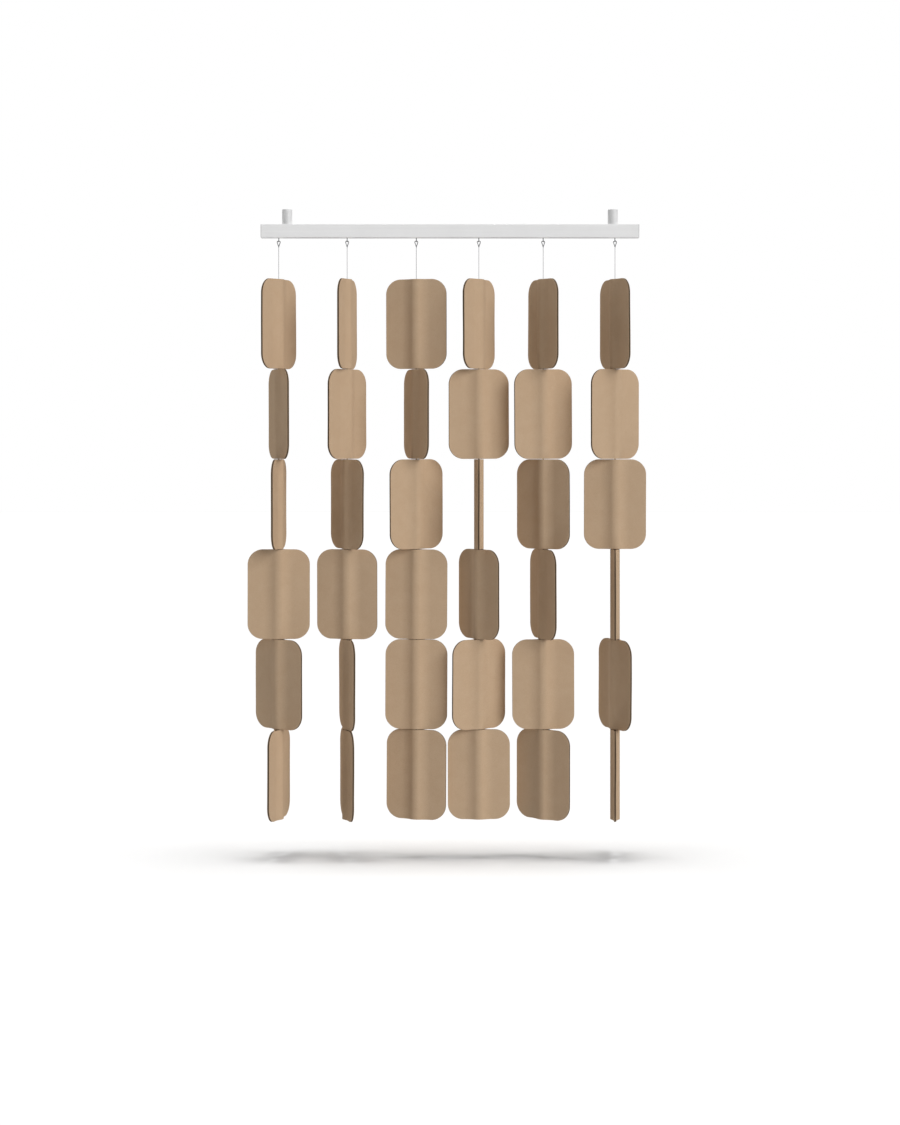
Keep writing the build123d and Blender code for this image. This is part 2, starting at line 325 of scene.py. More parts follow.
def leaf_section(x, offset, felt):
    """Height of a leaf's face above the panel's middle plane, at distances x from the ridge.

    Round ridge: y = peak - r + sqrt(r^2 - x^2). Flank: a straight line at the ridge's slope.
    Foot: y = offset + f - sqrt(f^2 - (end - x)^2). Wing: y = offset. The offset tells the faces apart.
    """
    slope = felt.ridge_slope
    ridge = felt.ridge_radius - felt.thickness + offset
    foot = felt.foot_radius + felt.thickness - offset
    peak = felt.ridge_height - felt.thickness + offset
    ridge_end = ridge * sin(slope)
    flank_top = peak - ridge * (1 - cos(slope))
    flank_low = offset + foot * (1 - cos(slope))
    flank_end = ridge_end + (flank_top - flank_low) * cos(slope) / sin(slope)
    foot_end = flank_end + foot * sin(slope)
    x = np.abs(x)
    on_ridge = peak - ridge + np.sqrt(np.maximum(ridge**2 - x**2, 0))
    on_flank = flank_top - (x - ridge_end) * sin(slope) / cos(slope)
    on_foot = offset + foot - np.sqrt(np.maximum(foot**2 - (foot_end - x) ** 2, 0))
    return np.select([x <= ridge_end, x <= flank_end, x <= foot_end], [on_ridge, on_flank, on_foot], offset)


def panel_grid(felt):
    """Points over a panel's outline: rows of heights z and, in each, places x from edge to edge.

    Rows at the corners stand at equal angles a round the corner: z = R (1 - cos a), and the
    half width there is w = W / 2 - R + R sin a. Columns are fixed over the swollen middle and
    spread from there to w, closer together at the rim.
    """
    radius, half = felt.corner, felt.width / 2
    angles = np.radians(np.linspace(0, 90, 19))
    corner_z = radius * (1 - np.cos(angles))
    corner_w = half - radius + radius * np.sin(angles)
    middle_z = np.linspace(radius, felt.height - radius, 23)[1:-1]
    z = np.concatenate([corner_z, middle_z, felt.height - corner_z[::-1]])
    w = np.concatenate([corner_w, np.full(len(middle_z), half), corner_w[::-1]])
    swollen = 0.0488
    inner = np.linspace(0, swollen, 25)
    spread = np.array([0.14, 0.31, 0.5, 0.68, 0.82, 0.91, 0.955, 0.978, 0.989, 0.995, 0.9985, 1.0])
    outer = swollen + (w[:, None] - swollen) * spread
    side = np.hstack([np.broadcast_to(inner[1:], (len(z), len(inner) - 1)), outer])
    x = np.hstack([-side[:, ::-1], np.zeros((len(z), 1)), side])
    return x, np.broadcast_to(z[:, None], x.shape)


def rim_distance(x, z, felt):
    """Distance from a point inside the rounded rectangle to its outline."""
    across = np.abs(x) - (felt.width / 2 - felt.corner)
    along = np.abs(z - felt.height / 2) - (felt.height / 2 - felt.corner)
    beyond = np.hypot(np.maximum(across, 0), np.maximum(along, 0))
    return np.maximum(felt.corner - beyond - np.minimum(np.maximum(across, along), 0), 0)


def rounding(distance, radius):
    """Drop of a quarter-round edge at a distance from the rim: r - sqrt(r^2 - (r - d)^2)."""
    inside = np.clip(radius - distance, 0, radius)
    return radius - np.sqrt(radius**2 - inside**2)


def waves(x, z, felt, chance):
    """Slow random waves of the wings: three cosines across and along, faded out over the swollen middle."""
    total = np.zeros_like(x)
    for share in (0.5, 0.3, 0.2):
        across, along = chance.uniform(6, 16, 2) * chance.choice((-1, 1), 2)
        total += share * np.cos(across * x / share * 0.5 + along * z / share * 0.5 + chance.uniform(0, tau))
    return felt.waviness * total * np.clip(np.abs(x) / 0.06, 0, 1) ** 2


def felt_panel(felt, chance):
    """Both leaves of a panel, its foot at z = 0, and each point's share of dark seam and painted shade.

    A leaf is its outer face, at the section with the leaf's thickness as offset, less the rim's
    rounding; its inner face, at the section with no offset, plus the seam's rounding and a hair's
    parting; and a wall round the rim. Seam is 1 on the inner edges where the two leaves lie flat on
    each other, 0.75 at the very rim and 0.5 where the wall meets the outer face. From the rim it
    has fallen to 0 at 1.4 times the seam's rounding on the inner face, and at cut_depth on the outer
    one. This share darkens the felt's colour: partly the pressed seam's own dark colour, partly
    painted shade in the hollow between the leaves and along the outer faces' rims.
    """
    parting = 0.00004
    cut_depth = 0.0004
    flat_below = 0.0003
    at_rim = 0.00003
    shape, seam_and_shade_shares = Shape(), []
    x, z = panel_grid(felt)
    rows, columns = x.shape
    rim = rim_distance(x, z, felt)
    wander = waves(x, z, felt, chance)
    outer = leaf_section(x, felt.thickness, felt) - rounding(rim, felt.outer_rounding)
    inner = leaf_section(x, 0.0, felt) + rounding(rim, felt.seam_rounding) + parting
    index = np.arange(rows * columns).reshape(rows, columns)
    loop = np.concatenate([index[0], index[1:, -1], index[-1, -2::-1], index[-2:0:-1, 0]])
    following = np.roll(loop, -1)
    size = rows * columns
    wall = np.stack([loop, following, following + size, loop + size], -1)
    flat = leaf_section(x, 0.0, felt) < flat_below
    # Painted shade: the inner edges where the leaves meet and the outer faces' rims are darkened in colour,
    # besides the pressed seam's own darker colour.
    seam_and_groove_shade = np.clip(1.4 - rim / felt.seam_rounding, 0, 1) * np.where(rim < at_rim, 0.75, 1) * flat
    cut_edge_and_shade = 0.5 * np.clip(1 - rim / cut_depth, 0, 1)
    for side in (1, -1):
        points = np.concatenate([
            np.stack([x, side * outer + wander, z], -1).reshape(-1, 3),
            np.stack([x, side * inner + wander, z], -1).reshape(-1, 3),
        ])
        front = side < 0
        quads = np.vstack([
            grid_faces(rows, columns, 0, flip=not front),
            grid_faces(rows, columns, size, flip=front),
            wall[:, ::-1] if front else wall,
        ])
        shape.add(points, quads)
        seam_and_shade_shares += [cut_edge_and_shade.ravel(), seam_and_groove_shade.ravel()]
    return shape, np.concatenate(seam_and_shade_shares)


def panel_place(name, felt, lean=0.0):
    """How a panel's own points go to their place: leaned in its plane, turned about the wire, then moved.

    The wire's place and the level are the panel's joint's; the turn is the long direction of the
    CAD node's points seen from above, which is the first principal axis of their x and y.
    """
    joint = JOINTS[f"{name}_turn"]
    node = frame["nodes"][name]
    corners = np.empty(len(node.data.vertices) * 3, np.float32)
    node.data.vertices.foreach_get("co", corners)
    flat = corners.reshape(-1, 3)[:, :2] - np.array(joint["pos_m"][:2])
    _, directions = np.linalg.eigh(flat.T @ flat)
    across = directions[:, 1] * (1 if directions[0, 1] >= 0 else -1)
    low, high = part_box(name)
    middle = (low.z + high.z) / 2

    def place(points):
        x, y, z = points.T
        rise = z - felt.height / 2
        leaned = x * cos(lean) + rise * sin(lean)
        level = rise * cos(lean) - x * sin(lean)
        return np.stack([
            joint["pos_m"][0] + leaned * across[0] - y * across[1],
            joint["pos_m"][1] + leaned * across[1] + y * across[0],
            middle + level,
        ], -1)

    return place


def panel_core(core, felt):
    """Spine and two bushes of a panel, its foot at z = 0.

    The spine's outline is a radius for each angle a: the tube's, or within the fins the nearer of
    thickness / (2 |cos a|) and reach / |sin a|. It is carried up, and its bore is a circle.
    """
    shape = Shape()
    low, high = core.inset, felt.height - core.inset
    half = core.fin_thickness / 2
    root = np.arccos(half / core.spine_radius)
    tip = np.arctan2(core.fin_reach, half)
    quarter = np.concatenate([np.linspace(0, root, 8), np.linspace(tip, tau / 4, 4)])
    fan = np.concatenate([quarter, tau / 2 - quarter[-2::-1]])
    angle = np.concatenate([fan, fan[1:-1] + tau / 2])
    away = np.where(
        np.abs(np.sin(angle)) > sin(root) + 1e-9,
        np.minimum(half / np.maximum(np.abs(np.cos(angle)), 1e-9), core.fin_reach / np.abs(np.sin(angle))),
        core.spine_radius,
    )
    radii = np.stack([away, away, np.full_like(away, core.bore_radius), np.full_like(away, core.bore_radius)])
    levels = np.array([low, high, high, low])[:, None]
    points = np.stack(np.broadcast_arrays(radii * np.cos(angle), radii * np.sin(angle), levels), -1)
    shape.add(points, ring_faces(4, len(angle), closed=True))
    face, chamfer = core.bush_flange, 0.0002
    radii = np.array([core.spine_radius - chamfer, core.spine_radius, core.spine_radius,
                      core.bush_radius, core.bush_radius, core.bush_bore, core.bush_bore])
    rises = np.array([-face, -face + chamfer, 0, 0, core.bush_length, core.bush_length, -face])
    shape.revolve(radii, low + rises, 24)
    shape.revolve(radii[::-1], high - rises[::-1], 24)
    return shape


# Wires

def rope_radius(angle, level, radius, lay):
    """Outline of six round wires laid about a seventh.

    With p the angle from the nearest wire's middle, the radius is
    (2 R / 3) cos p + sqrt((R / 3)^2 - (2 R / 3)^2 sin^2 p), and the wires turn once in a lay.
    """
    sixth = tau / 6
    near = (angle - tau * level / lay + sixth / 2) % sixth - sixth / 2
    deep = np.maximum((radius / 3) ** 2 - (2 * radius / 3 * np.sin(near)) ** 2, 0)
    return 2 * radius / 3 * np.cos(near) + np.sqrt(deep)


def rope(shape, wire, top, shown, low):
    """The wire from top to low: stranded down to the level shown, and round inside the panels."""
    sides = 36
    levels = np.concatenate([np.arange(top, shown, -wire.lay / 16), np.linspace(shown, low, 12)])
    angle = np.arange(sides) * tau / sides
    laid = (levels >= shown)[:, None]
    radii = np.where(laid, rope_radius(angle, levels[:, None], wire.wire_radius, wire.lay), wire.wire_radius)
    levels, radii = levels[::-1], radii[::-1]
    points = np.stack(np.broadcast_arrays(
        radii * np.cos(angle), radii * np.sin(angle), levels[:, None]), -1).reshape(-1, 3)
    around = np.arange(sides)
    following = np.roll(around, -1)
    last, upper = len(points), (len(levels) - 1) * sides
    caps = np.vstack([
        np.stack([following, around, np.full(sides, last)], -1),
        np.stack([upper + around, upper + following, np.full(sides, last + 1)], -1),
    ])
    points = np.vstack([points, [(0, 0, levels[0]), (0, 0, levels[-1])]])
    shape.add(points, ring_faces(len(levels), sides), caps)


def eye_path(wire, crown_level):
    """Middle line of the teardrop eye, clockwise from the front, and its outward directions.

    Two round shoulders and a round toe, joined by the straight lines that touch them. The line
    leaves the shoulders at the lean atan(side / rise) + asin((shoulder - toe) / hypot(side, rise)).
    """
    side = wire.eye_crown / 2
    shoulder = (wire.eye_width - wire.eye_wire) / 2 - side
    toe_level = crown_level + wire.eye_wire - wire.eye_height + wire.eye_tip
    rise = crown_level - shoulder - toe_level
    lean = np.arctan(side / rise) + np.arcsin((shoulder - wire.eye_tip) / np.hypot(side, rise))
    right = np.linspace(tau / 4, -lean, 14)
    toe = np.linspace(-lean, -tau / 2 + lean, 10)
    left = np.linspace(tau / 2 + lean, tau / 4, 14)
    arcs = ((right, side, crown_level - shoulder, shoulder), (toe, 0.0, toe_level, wire.eye_tip),
            (left, -side, crown_level - shoulder, shoulder))
    points = np.vstack([np.stack([x + r * np.cos(a), z + r * np.sin(a)], -1) for a, x, z, r in arcs])
    outward = np.vstack([np.stack([np.cos(a), np.sin(a)], -1) for a, _, _, _ in arcs])
    return points, outward


def eye(shape, wire, crown_level):
    """Round wire carried along the teardrop: point = path + r (outward cos b + y sin b)."""
    path, outward = eye_path(wire, crown_level)
    sides = 20
    angle = np.arange(sides) * tau / sides
    radius = wire.eye_wire / 2
    reach = radius * np.cos(angle)
    x = path[:, :1] + outward[:, :1] * reach
    z = path[:, 1:] + outward[:, 1:] * reach
    y = np.broadcast_to(radius * np.sin(angle), x.shape)
    shape.add(np.stack([x, y, z], -1), ring_faces(len(path), sides, closed=True))


def strand_parts(wire, core, number):
    """Eye, neck, wire, spacers and stop of one strand, on the Z axis at their real levels.

    Small and large are chamfers, and grip is how far the wire goes up into the neck.
    """
    shape = Shape()
    small, large = 0.0003, 0.0004
    grip = 0.003
    crown = JOINTS[f"strand_{number}_swing"]["pos_m"][2]
    eye(shape, wire, crown)
    eye_foot = crown + wire.eye_wire / 2 - wire.eye_height
    neck_end = eye_foot - wire.neck_length
    neck_top = eye_foot + wire.eye_wire
    shape.revolve(
        (wire.neck_end - small, wire.neck_end, wire.neck_top, wire.neck_top - large,
         wire.wire_radius, wire.wire_radius),
        (neck_end, neck_end + small, eye_foot + large, neck_top, neck_top, neck_end), 24)
    own = [name for name in PANELS if name.startswith(f"panel_c{number}_")]
    boxes = sorted((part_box(name) for name in own), key=lambda box: -box[1].z)
    face = core.inset - core.bush_flange
    for above, below in zip(boxes, boxes[1:]):
        low = below[1].z - face + wire.bearing_gap
        high = above[0].z + face - wire.bearing_gap
        shape.revolve(*chamfered_tube(wire.spacer_radius, core.bush_bore, low, high, small), 24)
    stop_top = boxes[-1][0].z + face - wire.bearing_gap
    stop_low = stop_top - wire.stop_length
    shape.revolve(*chamfered_tube(wire.stop_radius, wire.wire_radius, stop_low, stop_top, large), 24)
    rope(shape, wire, neck_end + grip, boxes[0][1].z - core.inset, stop_low - wire.tail)
    return shape


# Materials

class Nodes:
    """Short ways to add and join shader nodes in one tree."""

    def __init__(self, tree):
        self.tree = tree

    def add(self, kind, x, y, **values):
        """A node of one kind at a place on the sheet; values named as inputs are set on its sockets."""
        node = self.tree.nodes.new(kind)
        node.location = (x, y)
        for name, value in values.items():
            if name in node.inputs:
                node.inputs[name].default_value = value
            else:
                setattr(node, name, value)
        return node

    def join(self, start, end):
        """A link from an output to an input."""
        self.tree.links.new(start, end)

    def noise(self, vector, x, y, scale, detail=4.0, rough=0.55, bend=0.0):
        """A noise texture on given coordinates; returns its value."""
        node = self.add(
            "ShaderNodeTexNoise", x, y, Scale=scale, Detail=detail, Roughness=rough, Distortion=bend)
        self.join(vector, node.inputs["Vector"])
        return node.outputs["Fac"]

    def ramp(self, value, x, y, low, high, to_low=0.0, to_high=1.0):
        """A value carried smoothly from one range to another."""
        node = self.add("ShaderNodeMapRange", x, y, interpolation_type="SMOOTHSTEP")
        for socket, number in zip(("From Min", "From Max", "To Min", "To Max"), (low, high, to_low, to_high)):
            node.inputs[socket].default_value = number
        self.join(value, node.inputs["Value"])
        return node.outputs["Result"]

    def mix(self, share, first, second, x, y):
        """A mix of two colours, each a socket or a colour, by a share."""
        node = self.add("ShaderNodeMix", x, y, data_type="RGBA")
        self.join(share, node.inputs["Factor"])
        for socket, colour in ((node.inputs[6], first), (node.inputs[7], second)):
            if isinstance(colour, bpy.types.NodeSocket):
                self.join(colour, socket)
            else:
                socket.default_value = (*colour, 1.0)
        return node.outputs[2]

    def math(self, operation, first, second, x, y):
        """One sum of two values, each a socket or a number."""
        node = self.add("ShaderNodeMath", x, y, operation=operation)
        for socket, value in zip(node.inputs, (first, second)):
            if isinstance(value, bpy.types.NodeSocket):
                self.join(value, socket)
            else:
                socket.default_value = value
        return node.outputs["Value"]


def group(name, inputs, outputs):
    """An empty node group with named inputs and outputs; returns its sheet and its two end nodes."""
    tree = bpy.data.node_groups.new(name, "ShaderNodeTree")
    for label, kind, value in inputs:
        socket = tree.interface.new_socket(label, in_out="INPUT", socket_type=kind)
        if value is not None:
            socket.default_value = value
    for label, kind in outputs:
        tree.interface.new_socket(label, in_out="OUTPUT", socket_type=kind)
    nodes = Nodes(tree)
    return nodes, nodes.add("NodeGroupInput", -900, 0), nodes.add("NodeGroupOutput", 700, 0)


def grain_group():
    """Fine even grain of paint and plastic: a height and a tone, from two noises of the object's place."""
    nodes, start, end = group(
        "Fine grain",
        [("Vector", "NodeSocketVector", None), ("Scale", "NodeSocketFloat", 900.0)],
        [("Height", "NodeSocketFloat"), ("Tone", "NodeSocketFloat")],
    )
    fine = nodes.add("ShaderNodeTexNoise", -500, 150, Detail=3.0, Roughness=0.6)
    broad = nodes.add("ShaderNodeTexNoise", -500, -150, Detail=3.0, Roughness=0.5)
    nodes.join(start.outputs["Vector"], fine.inputs["Vector"])
    nodes.join(start.outputs["Vector"], broad.inputs["Vector"])
    nodes.join(start.outputs["Scale"], fine.inputs["Scale"])
    nodes.join(nodes.math("DIVIDE", start.outputs["Scale"], 60.0, -700, -200), broad.inputs["Scale"])
    nodes.join(fine.outputs["Fac"], end.inputs["Height"])
    both = nodes.math("ADD", nodes.math("MULTIPLY", fine.outputs["Fac"], 0.35, -250, 100),
                      nodes.math("MULTIPLY", broad.outputs["Fac"], 0.65, -250, -100), 0, 0)
    nodes.join(nodes.ramp(both, 250, 0, 0.3, 0.7), end.inputs["Tone"])
    return nodes.tree


def drawn_group():
    """Lines that drawing, extruding or turning leaves: noise squeezed along one direction by Stretch."""
    nodes, start, end = group(
        "Drawn lines",
        [("Vector", "NodeSocketVector", None), ("Stretch", "NodeSocketVector", None),
         ("Scale", "NodeSocketFloat", 600.0)],
        [("Height", "NodeSocketFloat"), ("Tone", "NodeSocketFloat")],
    )
    squeezed = nodes.add("ShaderNodeVectorMath", -650, 0, operation="MULTIPLY")
    nodes.join(start.outputs["Vector"], squeezed.inputs[0])
    nodes.join(start.outputs["Stretch"], squeezed.inputs[1])
    lines = nodes.add("ShaderNodeTexNoise", -400, 0, Detail=4.0, Roughness=0.65)
    nodes.join(squeezed.outputs[0], lines.inputs["Vector"])
    nodes.join(start.outputs["Scale"], lines.inputs["Scale"])
    nodes.join(lines.outputs["Fac"], end.inputs["Height"])
    nodes.join(nodes.ramp(lines.outputs["Fac"], 0, -100, 0.3, 0.7), end.inputs["Tone"])
    return nodes.tree


def fresh_material(name, colour, **shader_values):
    """A material with one Principled shader, its even values set on the shader's own sockets."""
    material = bpy.data.materials.new(name)
    material.use_nodes = True
    material.diffuse_color = (*colour, 1.0)
    nodes = Nodes(material.node_tree)
    shader = material.node_tree.nodes["Principled BSDF"]
    shader.location = (600, 0)
    shader.inputs["Base Color"].default_value = (*colour, 1.0)
    for label, value in shader_values.items():
        shader.inputs[label.replace("_", " ")].default_value = value
    place = nodes.add("ShaderNodeTexCoord", -1300, 0).outputs["Object"]
    return material, nodes, shader, place


def placed(nodes, tree, x, y, vector, **values):
    """A node group on the sheet, fed with coordinates and its own values."""
    node = nodes.add("ShaderNodeGroup", x, y)
    node.node_tree = tree
    nodes.join(vector, node.inputs["Vector"])
    for label, value in values.items():
        node.inputs[label].default_value = value
    return node


def bump(nodes, shader, height, x, y, distance, strength=1.0):
    """Feed a height to the shader's normal."""
    node = nodes.add("ShaderNodeBump", x, y, Distance=distance, Strength=strength)
    nodes.join(height, node.inputs["Height"])
    nodes.join(node.outputs["Normal"], shader.inputs["Normal"])


def felt_material(felt):
    """Pressed felt: matted fibres, single paler and darker fibres, faint clouds, and a dark seam that is
    partly the pressed seam's own colour and partly painted shade between the leaves and along their rims.
    """
    material, nodes, shader, place = fresh_material(
        "felt", felt.colour, Sheen_Weight=0.10, Sheen_Roughness=0.6, Specular_IOR_Level=0.12,
        Sheen_Tint=(*felt.pale_fibre, 1.0))
    matted = nodes.noise(place, -1000, 300, 420.0, 9.0, 0.72, 2.2)
    single = nodes.noise(place, -1000, 0, 150.0, 7.0, 0.8, 5.0)
    clouds = nodes.noise(place, -1000, -300, 22.0, 3.0, 0.5, 0.6)
    pale = nodes.ramp(matted, -700, 300, 0.47, 0.70, 0.0, 0.70)
    dark = nodes.ramp(single, -700, 100, 0.49, 0.32, 0.0, 0.62)
    cloud = nodes.ramp(clouds, -700, -300, 0.3, 0.7, 0.0, 0.16)
    ground = nodes.mix(cloud, felt.colour, felt.pale_fibre, -450, -200)
    lighter = nodes.mix(pale, ground, felt.pale_fibre, -250, 100)
    darker = nodes.mix(dark, lighter, felt.dark_fibre, -50, 100)
    # The seam attribute mixes in the dark seam colour: the pressed seam's own colour plus painted shade
    # between the leaves and along the rims.
    seam = nodes.add("ShaderNodeAttribute", -450, -500, attribute_name="seam")
    nodes.join(nodes.mix(seam.outputs["Fac"], darker, felt.seam_and_shade_colour, 200, 100), shader.inputs["Base Color"])
    nodes.join(nodes.ramp(matted, 200, -150, 0.3, 0.7, 0.9, 1.0), shader.inputs["Roughness"])
    relief = nodes.math("ADD", nodes.math("MULTIPLY", matted, 0.7, -300, -600),
                        nodes.math("MULTIPLY", single, 0.6, -300, -750), 0, -600)
    bump(nodes, shader, relief, 250, -400, 0.0007, 0.8)
    return material


def grained_material(name, colour, grain, scale, depth, roughness, shade=0.93):
    """Paint or moulded plastic: a fine grain, faint clouds of tone and uneven gloss."""
    material, nodes, shader, place = fresh_material(name, colour)
    node = placed(nodes, grain, -700, 0, place, Scale=scale)
    dull = tuple(channel * shade for channel in colour)
    nodes.join(nodes.mix(node.outputs["Tone"], dull, colour, -100, 100), shader.inputs["Base Color"])
    nodes.join(nodes.ramp(node.outputs["Tone"], -100, -150, 0.0, 1.0, roughness - 0.05, roughness + 0.05),
               shader.inputs["Roughness"])
    bump(nodes, shader, node.outputs["Height"], 250, -300, depth, 0.5)
    return material


def extruded_paint(name, colour, grain, drawn):
    """Satin paint over an extrusion: orange-peel grain and the faint lines of the extrusion along X."""
    material, nodes, shader, place = fresh_material(name, colour)
    peel = placed(nodes, grain, -800, 150, place, Scale=700.0)
    lines = placed(nodes, drawn, -800, -150, place, Scale=420.0, Stretch=(0.004, 1.0, 1.0))
    dull = tuple(channel * 0.93 for channel in colour)
    both = nodes.math("ADD", peel.outputs["Tone"], lines.outputs["Tone"], -500, 100)
    share = nodes.math("MULTIPLY", both, 0.5, -300, 100)
    nodes.join(nodes.mix(share, dull, colour, -50, 100), shader.inputs["Base Color"])
    nodes.join(nodes.ramp(share, -50, -150, 0.0, 1.0, 0.42, 0.54), shader.inputs["Roughness"])
    relief = nodes.math("ADD", nodes.math("MULTIPLY", peel.outputs["Height"], 0.5, -500, -300),
                        nodes.math("MULTIPLY", lines.outputs["Height"], 0.5, -500, -450), -250, -350)
    bump(nodes, shader, relief, 250, -300, 0.00012, 0.4)
    return material


def turned_metal(name, colour, drawn, stretch, roughness, metallic=1.0):
    """Bright or satin metal with fine lines from drawing or turning, and uneven gloss between them."""
    material, nodes, shader, place = fresh_material(name, colour, Metallic=metallic)
    lines = placed(nodes, drawn, -700, 0, place, Scale=1500.0, Stretch=stretch)
    dull = tuple(channel * 0.86 for channel in colour)
    nodes.join(nodes.mix(lines.outputs["Tone"], dull, colour, -100, 100), shader.inputs["Base Color"])
    nodes.join(nodes.ramp(lines.outputs["Tone"], -100, -150, 0.0, 1.0, roughness + 0.08, roughness - 0.04),
               shader.inputs["Roughness"])
    bump(nodes, shader, lines.outputs["Height"], 250, -300, 0.00005, 0.4)
    return material


def floor_material(stage):
    """Plain pale floor: white in its own lamps' light, but for the shadow; duller to all but the camera."""
    material = bpy.data.materials.new("floor")
    material.use_nodes = True
    nodes = Nodes(material.node_tree)
    material.node_tree.nodes.clear()
    out = nodes.add("ShaderNodeOutputMaterial", 600, 0)
    seen = nodes.add("ShaderNodeLightPath", -600, 200)
    grain = nodes.noise(nodes.add("ShaderNodeTexCoord", -900, -100).outputs["Object"], -700, -100, 3.0)
    pale = nodes.mix(nodes.ramp(grain, -450, -100, 0.3, 0.7), stage.floor_colour,
                     tuple(channel * 0.99 for channel in stage.floor_colour), -250, -50)
    shown = nodes.add("ShaderNodeBsdfDiffuse", 0, 0)
    nodes.join(pale, shown.inputs["Color"])
    hidden = nodes.add("ShaderNodeBsdfDiffuse", 0, -150, Color=(*[stage.floor_bounce] * 3, 1.0))
    pick = nodes.add("ShaderNodeMixShader", 400, 0)
    nodes.join(seen.outputs["Is Camera Ray"], pick.inputs[0])
    nodes.join(hidden.outputs[0], pick.inputs[1])
    nodes.join(shown.outputs[0], pick.inputs[2])
    nodes.join(pick.outputs[0], out.inputs["Surface"])
    return material


def white_world(sky):
    """Even light for surfaces, and white where the camera, a reflection or glass sees the background."""
    world = bpy.data.worlds.new("studio")
    world.use_nodes = True
    nodes = Nodes(world.node_tree)
    world.node_tree.nodes.clear()
    out = nodes.add("ShaderNodeOutputWorld", 600, 0)
    path = nodes.add("ShaderNodeLightPath", -600, 100)
    direct = nodes.math("MAXIMUM", path.outputs["Is Camera Ray"], path.outputs["Is Glossy Ray"], -350, 100)
    seen = nodes.math("MAXIMUM", direct, path.outputs["Is Transmission Ray"], -150, 100)
    strength = nodes.ramp(seen, 50, 100, 0.0, 1.0, sky, 1.0)
    light = nodes.add("ShaderNodeBackground", 350, 0, Color=(1.0, 1.0, 1.0, 1.0))
    nodes.join(strength, light.inputs["Strength"])
    nodes.join(light.outputs[0], out.inputs["Surface"])
    return world


# Operators

class AcousticFeltPanels(bpy.types.Operator):
    """Build the two felt leaves of every panel"""

    bl_idname = "acoustic.felt_panels"
    bl_label = "Felt panels"

    def execute(self, context):
        felt = context.scene.acoustic_felt
        chance = np.random.default_rng(felt.seed)
        material = felt_material(felt)
        for name in PANELS:
            shape, seam_and_shade_shares = felt_panel(felt, chance)
            lean = chance.uniform(-felt.lean, felt.lean)
            made = shape.piece(f"felt_{name[6:]}", panel_place(name, felt, lean), material, 60.0)
            # The seam attribute holds each point's share of dark seam and painted shade.
            share = made.data.attributes.new("seam", "FLOAT", "POINT")
            share.data.foreach_set("value", seam_and_shade_shares.astype(np.float32))
            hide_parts(name)
            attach(made, name)
        return {"FINISHED"}


class AcousticPanelCores(bpy.types.Operator):
    """Build the spine and the two bushes inside every panel"""

    bl_idname = "acoustic.panel_cores"
    bl_label = "Spines and bushes"

    def execute(self, context):
        core, felt = context.scene.acoustic_core, context.scene.acoustic_felt
        grain = bpy.data.node_groups["Fine grain"]
        material = grained_material("spine_moulding", core.colour, grain, 1100.0, 0.00008, 0.5)
        for name in PANELS:
            made = panel_core(core, felt).piece(f"core_{name[6:]}", panel_place(name, felt), material)
            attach(made, name)
        return {"FINISHED"}


class AcousticWires(bpy.types.Operator):
    """Build every strand's eye, stranded wire, spacers and stop"""

    bl_idname = "acoustic.wires"
    bl_label = "Wires and eyes"

    def execute(self, context):
        wire, core = context.scene.acoustic_wire, context.scene.acoustic_core
        drawn = bpy.data.node_groups["Drawn lines"]
        steel = turned_metal("strand_steel", wire.colour, drawn, (1.0, 1.0, 0.08), 0.42)
        fitting = turned_metal("fitting_steel", wire.fitting, drawn, (1.0, 1.0, 1.0), 0.3)
        for number in STRANDS:
            across = np.array(JOINTS[f"strand_{number}_swing"]["pos_m"]) * (1, 1, 0)
            made = strand_parts(wire, core, number).piece(
                f"wire_{number}", lambda points: points + across, fitting, last_material=steel)
            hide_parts(f"strand_{number}")
            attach(made, f"strand_{number}")
        return {"FINISHED"}


class AcousticHardware(bpy.types.Operator):
    """Give the rail, its caps and standoffs, the gliders, hooks and screws their finishes"""

    bl_idname = "acoustic.hardware"
    bl_label = "Rail and fittings"

    def execute(self, context):
        look = context.scene.acoustic_hardware
        grain, drawn = bpy.data.node_groups["Fine grain"], bpy.data.node_groups["Drawn lines"]
        finishes = {
            "rail": extruded_paint("rail_paint", look.rail, grain, drawn),
            "end_cap": grained_material("cap_plastic", look.cap, grain, 1300.0, 0.00010, 0.5),
            "ceiling_mount": grained_material("mount_paint", look.mount, grain, 800.0, 0.00008, 0.42),
            "mount_screws": turned_metal("screw_steel", look.screw, drawn, (1.0, 1.0, 1.0), 0.34),
            "glider": grained_material("glider_nylon", look.glider, grain, 1500.0, 0.00006, 0.48, 0.96),
            "hook": turned_metal("hook_chrome", look.hook, drawn, (1.0, 1.0, 0.2), 0.16),
        }
        for name, node in frame["nodes"].items():
            for start, material in finishes.items():
                if name.startswith(start):
                    for slot in node.material_slots:
                        slot.material = material
        return {"FINISHED"}


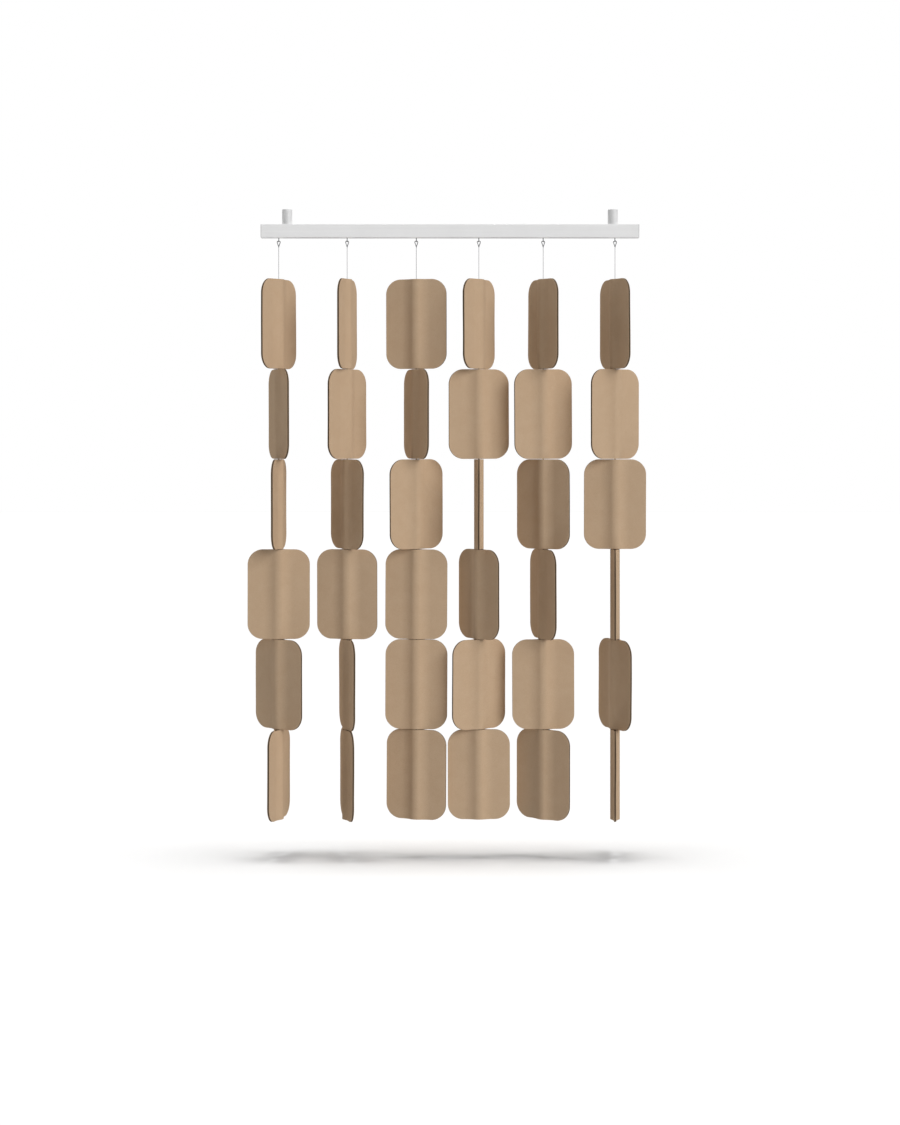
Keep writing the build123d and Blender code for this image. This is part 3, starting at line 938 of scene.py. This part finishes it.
class AcousticStage(bpy.types.Operator):
    """Build the camera, the lamps, the white surroundings and the floor"""

    bl_idname = "acoustic.stage"
    bl_label = "Stage"

    def execute(self, context):
        stage, scene = context.scene.acoustic_stage, context.scene
        scene.view_settings.view_transform = "Standard"
        data = bpy.data.cameras.new("camera")
        data.lens, data.shift_y = stage.lens, stage.rise
        camera = bpy.data.objects.new("camera", data)
        camera.location = (0.0, -stage.camera_distance, -stage.camera_drop)
        camera.rotation_euler = (tau / 4, 0.0, 0.0)
        scene.collection.objects.link(camera)
        scene.camera = camera
        half = stage.floor_size / 2
        points_a_side = 21
        lamp_distance = 4
        side = np.linspace(-half, half, points_a_side)
        x, y = np.meshgrid(side, side)
        points = np.stack([x, y, np.full_like(x, -stage.floor_drop)], -1)
        shape = Shape()
        shape.add(points, grid_faces(points_a_side, points_a_side))
        floor = shape.piece("floor", lambda points: points, floor_material(stage))
        lamps = [
            ("key", stage.key, stage.key_spread, stage.key_side, stage.key_rise),
            ("fill", stage.fill, stage.wide, -stage.fill_side, stage.fill_rise),
            ("back", stage.back, stage.back_spread, tau / 2, stage.key_rise),
            ("top", stage.top, stage.top_spread, 0.0, tau / 4),
            ("under", stage.under, stage.wide, 0.0, -tau / 4),
        ]
        steps = (-1.5, -0.5, 0.5, 1.5)
        for number, step in enumerate(steps, 1):
            tilt = step * stage.floor_fan
            level = stage.floor_light / len(steps) / cos(tilt)
            lamps.append((f"floor_{number}", level, stage.floor_spread, tau / 4, tau / 4 - tilt))
        for name, level, spread, azimuth, rise in lamps:
            lamp = bpy.data.lights.new(name, "SUN")
            lamp.energy, lamp.angle = level * tau / 2, spread
            lit = bpy.data.objects.new(name, lamp)
            away = Vector((sin(azimuth) * cos(rise), -cos(azimuth) * cos(rise), sin(rise)))
            lit.rotation_euler = away.to_track_quat("Z", "Y").to_euler()
            lit.location = away * lamp_distance
            scene.collection.objects.link(lit)
            reach = bpy.data.collections.new(f"{name}_reach")
            reach.objects.link(floor)
            lit.light_linking.receiver_collection = reach
            if not name.startswith("floor"):
                reach.collection_objects[0].light_linking.link_state = "EXCLUDE"
                lit.light_linking.blocker_collection = reach
        scene.world = white_world(stage.sky)
        return {"FINISHED"}


class AcousticPanel(bpy.types.Panel):
    """Lists the steps and their settings in the 3D view's sidebar"""

    bl_idname = "VIEW3D_PT_acoustic_panel"
    bl_label = "Acoustic panel"
    bl_space_type = "VIEW_3D"
    bl_region_type = "UI"
    bl_category = "Acoustic Panel"

    def draw(self, context):
        for operator, group_name in STEPS:
            box = self.layout.box()
            box.operator(operator.bl_idname)
            settings = getattr(context.scene, group_name)
            for field in settings.bl_rna.properties:
                if field.identifier not in {"rna_type", "name"}:
                    box.prop(settings, field.identifier)


STEPS = (
    (AcousticFeltPanels, "acoustic_felt"),
    (AcousticPanelCores, "acoustic_core"),
    (AcousticWires, "acoustic_wire"),
    (AcousticHardware, "acoustic_hardware"),
    (AcousticStage, "acoustic_stage"),
)
SETTINGS = {
    "acoustic_felt": AcousticFeltSettings,
    "acoustic_core": AcousticCoreSettings,
    "acoustic_wire": AcousticWireSettings,
    "acoustic_hardware": AcousticHardwareSettings,
    "acoustic_stage": AcousticStageSettings,
}


def register():
    """Make the settings, steps and sidebar known to Blender."""
    for name, kind in SETTINGS.items():
        bpy.utils.register_class(kind)
        setattr(bpy.types.Scene, name, PointerProperty(type=kind))
    for operator, _ in STEPS:
        bpy.utils.register_class(operator)
    bpy.utils.register_class(AcousticPanel)


def unregister():
    """Take back what register added, last first."""
    bpy.utils.unregister_class(AcousticPanel)
    for operator, _ in reversed(STEPS):
        bpy.utils.unregister_class(operator)
    for name, kind in reversed(SETTINGS.items()):
        delattr(bpy.types.Scene, name)
        bpy.utils.unregister_class(kind)


def main():
    register()
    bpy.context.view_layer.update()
    grain_group()
    drawn_group()
    for operator in (
        bpy.ops.acoustic.felt_panels,
        bpy.ops.acoustic.panel_cores,
        bpy.ops.acoustic.wires,
        bpy.ops.acoustic.hardware,
        bpy.ops.acoustic.stage,
    ):
        if operator() != {"FINISHED"}:
            raise RuntimeError("a step didn't finish")


if __name__ == "__main__":
    main()
